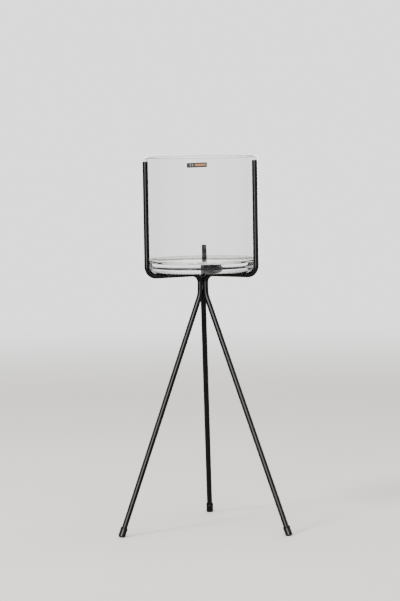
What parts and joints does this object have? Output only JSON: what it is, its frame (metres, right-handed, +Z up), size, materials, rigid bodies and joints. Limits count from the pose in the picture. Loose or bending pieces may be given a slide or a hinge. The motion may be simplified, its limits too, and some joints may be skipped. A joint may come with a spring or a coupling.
{
  "type": "champagne bucket stand",
  "caption": "Tripod stand of bent black round bar welded at a short neck, with rubber foot caps, carrying a lift-out straight-sided clear glass wine bucket with a thick base.",
  "frame": {"origin": "on the floor plane, on the vertical axis of the neck and of the bucket", "axes": "+Z up; +Y towards the rear leg; +X towards the right upright as seen from the front; the front is -Y, between the two tall uprights"},
  "size_m": [0.319, 0.2879, 0.6912],
  "materials": {
    "black_coat": "satin black powder coat on steel bar",
    "weld_coat": "satin black powder coat over a weld bead",
    "foot_rubber": "semi-matte black rubber",
    "clear_glass": "clear polished glass",
    "label_film": "printed film, blank"
  },
  "bodies": {
    "stand": {"front_left_rod": "black_coat", "front_right_rod": "black_coat", "rear_rod": "black_coat", "front_weld": "weld_coat", "left_weld": "weld_coat", "right_weld": "weld_coat", "front_left_foot": "foot_rubber", "front_right_foot": "foot_rubber", "rear_foot": "foot_rubber"},
    "bucket": {"glass_bucket": "clear_glass", "rim_label": "label_film"}
  },
  "joints": [
    {"name": "bucket_lift", "type": "slide", "parent": "stand", "child": "bucket", "axis": [0, 0, 1], "range_m": [0, 0.25]}
  ]
}
